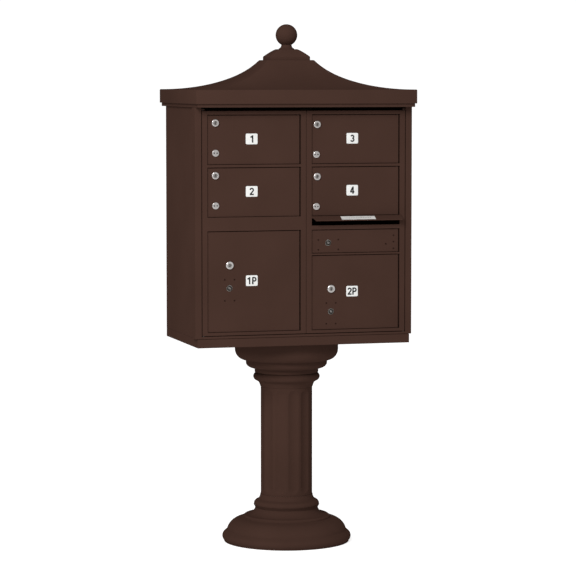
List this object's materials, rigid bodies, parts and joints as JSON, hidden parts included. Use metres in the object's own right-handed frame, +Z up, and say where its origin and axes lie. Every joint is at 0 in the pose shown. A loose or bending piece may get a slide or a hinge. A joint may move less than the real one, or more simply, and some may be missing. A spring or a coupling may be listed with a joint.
{
  "type": "cluster mailbox unit",
  "caption": "Pedestal cluster mailbox with locking mail doors, parcel lockers, a hooded outgoing-mail slot, hinged master doors, a pagoda cap with a ball finial and a fluted column.",
  "frame": {"origin": "centre of the pedestal's underside, on the ground", "axes": "+X to the right as seen from the front, -Y out of the front, +Z up"},
  "size_m": [0.785, 0.543, 1.823],
  "materials": {
    "bronze_paint": "satin powder coat",
    "dark_paint": "matt",
    "zinc_steel": "zinc plated",
    "lock_chrome": "bright plated",
    "plug_steel": "satin",
    "number_plate": "smooth with engraved black numerals",
    "label_metal": "satin"
  },
  "bodies": {
    "root": {"pedestal_post": "zinc_steel", "deck_bolts": "zinc_steel", "base_cover": "bronze_paint", "column_sleeve": "bronze_paint", "capital_cover": "bronze_paint", "bottom_pan": "bronze_paint", "floor_sill": "bronze_paint", "left_side": "bronze_paint", "right_side": "bronze_paint", "left_post": "bronze_paint", "right_post": "bronze_paint", "back_panel": "bronze_paint", "header": "dark_paint", "divider": "bronze_paint", "shelves": "bronze_paint", "cap_rim": "bronze_paint", "cap_roof": "bronze_paint", "cap_tier": "bronze_paint", "finial": "bronze_paint", "pivot_pins": "zinc_steel"},
    "left_master": {"left_master_frame": "bronze_paint", "left_door_pins": "zinc_steel"},
    "left_latch": {"left_latch_bar": "zinc_steel"},
    "right_master": {"right_master_frame": "bronze_paint", "right_door_pins": "zinc_steel", "outgoing_hood": "bronze_paint", "hood_label": "label_metal"},
    "right_latch": {"right_latch_bar": "zinc_steel"},
    "door_1": {"door_1_leaf": "bronze_paint", "door_1_plate": "number_plate", "door_1_lock": "lock_chrome"},
    "door_1_key": {"door_1_cam": "plug_steel"},
    "door_2": {"door_2_leaf": "bronze_paint", "door_2_plate": "number_plate", "door_2_lock": "lock_chrome"},
    "door_2_key": {"door_2_cam": "plug_steel"},
    "door_3": {"door_3_leaf": "bronze_paint", "door_3_plate": "number_plate", "door_3_lock": "lock_chrome"},
    "door_3_key": {"door_3_cam": "plug_steel"},
    "door_4": {"door_4_leaf": "bronze_paint", "door_4_plate": "number_plate", "door_4_lock": "lock_chrome"},
    "door_4_key": {"door_4_cam": "plug_steel"},
    "parcel_1": {"parcel_1_leaf": "bronze_paint", "parcel_1_plate": "number_plate", "parcel_1_lock": "lock_chrome", "parcel_1_carrier_lock": "zinc_steel"},
    "parcel_1_key": {"parcel_1_cam": "plug_steel"},
    "parcel_2": {"parcel_2_leaf": "bronze_paint", "parcel_2_plate": "number_plate", "parcel_2_lock": "lock_chrome", "parcel_2_carrier_lock": "zinc_steel"},
    "parcel_2_key": {"parcel_2_cam": "plug_steel"},
    "parcel_1_bolt": {"parcel_1_carrier_bolt": "lock_chrome"},
    "parcel_2_bolt": {"parcel_2_carrier_bolt": "lock_chrome"},
    "outgoing": {"outgoing_leaf": "bronze_paint", "outgoing_carrier_lock": "zinc_steel", "outgoing_strap": "zinc_steel"},
    "outgoing_bolt": {"outgoing_carrier_bolt": "lock_chrome"}
  },
  "joints": [
    {"name": "left_master_swing", "type": "hinge", "parent": "root", "child": "left_master", "pos_m": [-0.3585, -0.2235, 1.14075], "axis": [0, 0, -1], "range_deg": [0, 95]},
    {"name": "right_master_swing", "type": "hinge", "parent": "root", "child": "right_master", "pos_m": [0.3585, -0.2235, 1.14075], "axis": [0, 0, 1], "range_deg": [0, 95]},
    {"name": "left_latch_slide", "type": "slide", "parent": "left_master", "child": "left_latch", "axis": [0, 0, 1], "range_m": [0, 0.013]},
    {"name": "right_latch_slide", "type": "slide", "parent": "right_master", "child": "right_latch", "axis": [0, 0, 1], "range_m": [0, 0.013]},
    {"name": "door_1_swing", "type": "hinge", "parent": "left_master", "child": "door_1", "pos_m": [-0.0215, -0.22, 1.426], "axis": [0, 0, 1], "range_deg": [0, 95]},
    {"name": "door_2_swing", "type": "hinge", "parent": "left_master", "child": "door_2", "pos_m": [-0.0215, -0.22, 1.247], "axis": [0, 0, 1], "range_deg": [0, 95]},
    {"name": "door_3_swing", "type": "hinge", "parent": "right_master", "child": "door_3", "pos_m": [0.3355, -0.22, 1.426], "axis": [0, 0, 1], "range_deg": [0, 95]},
    {"name": "door_4_swing", "type": "hinge", "parent": "right_master", "child": "door_4", "pos_m": [0.3355, -0.22, 1.247], "axis": [0, 0, 1], "range_deg": [0, 95]},
    {"name": "parcel_1_swing", "type": "hinge", "parent": "left_master", "child": "parcel_1", "pos_m": [-0.0215, -0.22, 0.9415], "axis": [0, 0, 1], "range_deg": [0, 95]},
    {"name": "parcel_2_swing", "type": "hinge", "parent": "right_master", "child": "parcel_2", "pos_m": [0.3355, -0.22, 0.8975], "axis": [0, 0, 1], "range_deg": [0, 95]},
    {"name": "outgoing_swing", "type": "hinge", "parent": "right_master", "child": "outgoing", "pos_m": [0.3355, -0.22, 1.074], "axis": [0, 0, 1], "range_deg": [0, 95]},
    {"name": "door_1_key_turn", "type": "hinge", "parent": "door_1", "child": "door_1_key", "pos_m": [-0.316, -0.224, 1.4835], "axis": [0, 1, 0], "range_deg": [0, 90]},
    {"name": "door_2_key_turn", "type": "hinge", "parent": "door_2", "child": "door_2_key", "pos_m": [-0.316, -0.224, 1.3045], "axis": [0, 1, 0], "range_deg": [0, 90]},
    {"name": "door_3_key_turn", "type": "hinge", "parent": "door_3", "child": "door_3_key", "pos_m": [0.045, -0.224, 1.477], "axis": [0, 1, 0], "range_deg": [0, 90]},
    {"name": "door_4_key_turn", "type": "hinge", "parent": "door_4", "child": "door_4_key", "pos_m": [0.045, -0.224, 1.298], "axis": [0, 1, 0], "range_deg": [0, 90]},
    {"name": "parcel_1_key_turn", "type": "hinge", "parent": "parcel_1", "child": "parcel_1_key", "pos_m": [-0.266, -0.224, 0.998], "axis": [0, -1, 0], "range_deg": [0, 90]},
    {"name": "parcel_2_key_turn", "type": "hinge", "parent": "parcel_2", "child": "parcel_2_key", "pos_m": [0.096, -0.224, 0.91], "axis": [0, -1, 0], "range_deg": [0, 90]},
    {"name": "parcel_1_bolt_slide", "type": "slide", "parent": "parcel_1", "child": "parcel_1_bolt", "axis": [-1, 0, 0], "range_m": [0, 0.014]},
    {"name": "parcel_2_bolt_slide", "type": "slide", "parent": "parcel_2", "child": "parcel_2_bolt", "axis": [-1, 0, 0], "range_m": [0, 0.014]},
    {"name": "outgoing_bolt_slide", "type": "slide", "parent": "outgoing", "child": "outgoing_bolt", "axis": [-1, 0, 0], "range_m": [0, 0.014]}
  ]
}
